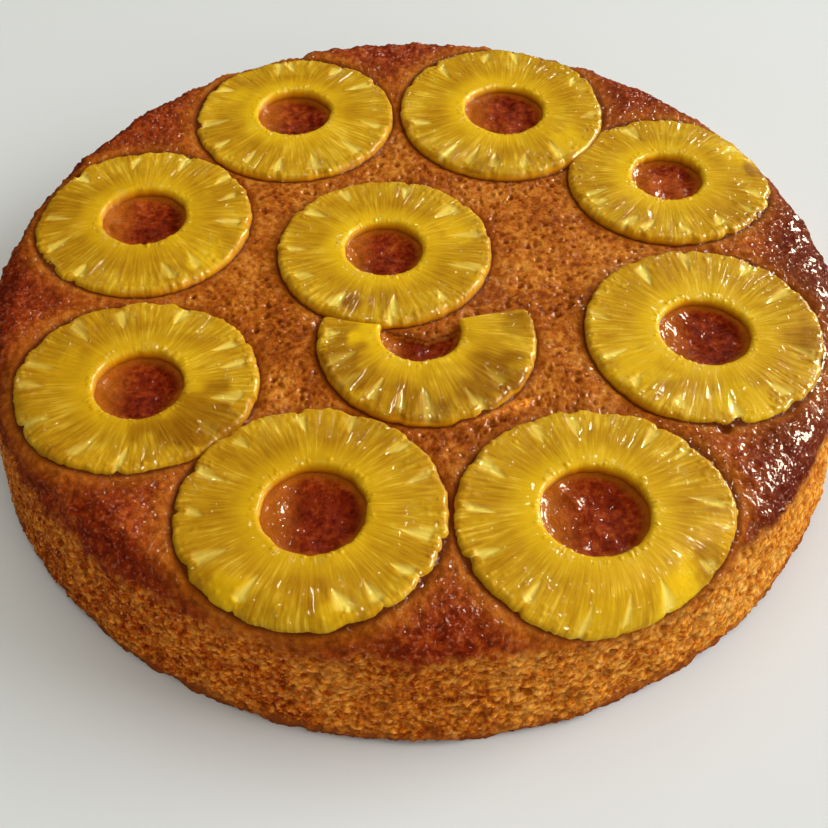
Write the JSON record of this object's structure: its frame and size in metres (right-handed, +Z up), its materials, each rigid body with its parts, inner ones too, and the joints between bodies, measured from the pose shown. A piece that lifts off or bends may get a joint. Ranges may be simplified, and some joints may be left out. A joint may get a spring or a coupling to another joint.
{
  "type": "pineapple upside-down cake",
  "caption": "Whole round sponge cake with its fruit side up: pineapple rings baked into a caramelled top that rounds down to a golden crumb side.",
  "frame": {"origin": "centre of the flat underside", "axes": "+Z up through the cake, +X to the right and -Y towards the viewer in the picture"},
  "size_m": [0.2843, 0.2848, 0.0462],
  "materials": {
    "sponge": "caramelled golden-brown sponge crumb",
    "pineapple": "wet baked pineapple"
  },
  "bodies": {
    "root": {"sponge": "sponge", "pineapple_ring_centre": "pineapple", "pineapple_ring_front_left": "pineapple", "pineapple_ring_front_right": "pineapple", "pineapple_ring_right": "pineapple", "pineapple_ring_back_right": "pineapple", "pineapple_ring_back_middle": "pineapple", "pineapple_ring_back_left": "pineapple", "pineapple_ring_left": "pineapple", "pineapple_ring_left_front": "pineapple", "pineapple_ring_part": "pineapple"}
  },
  "joints": []
}
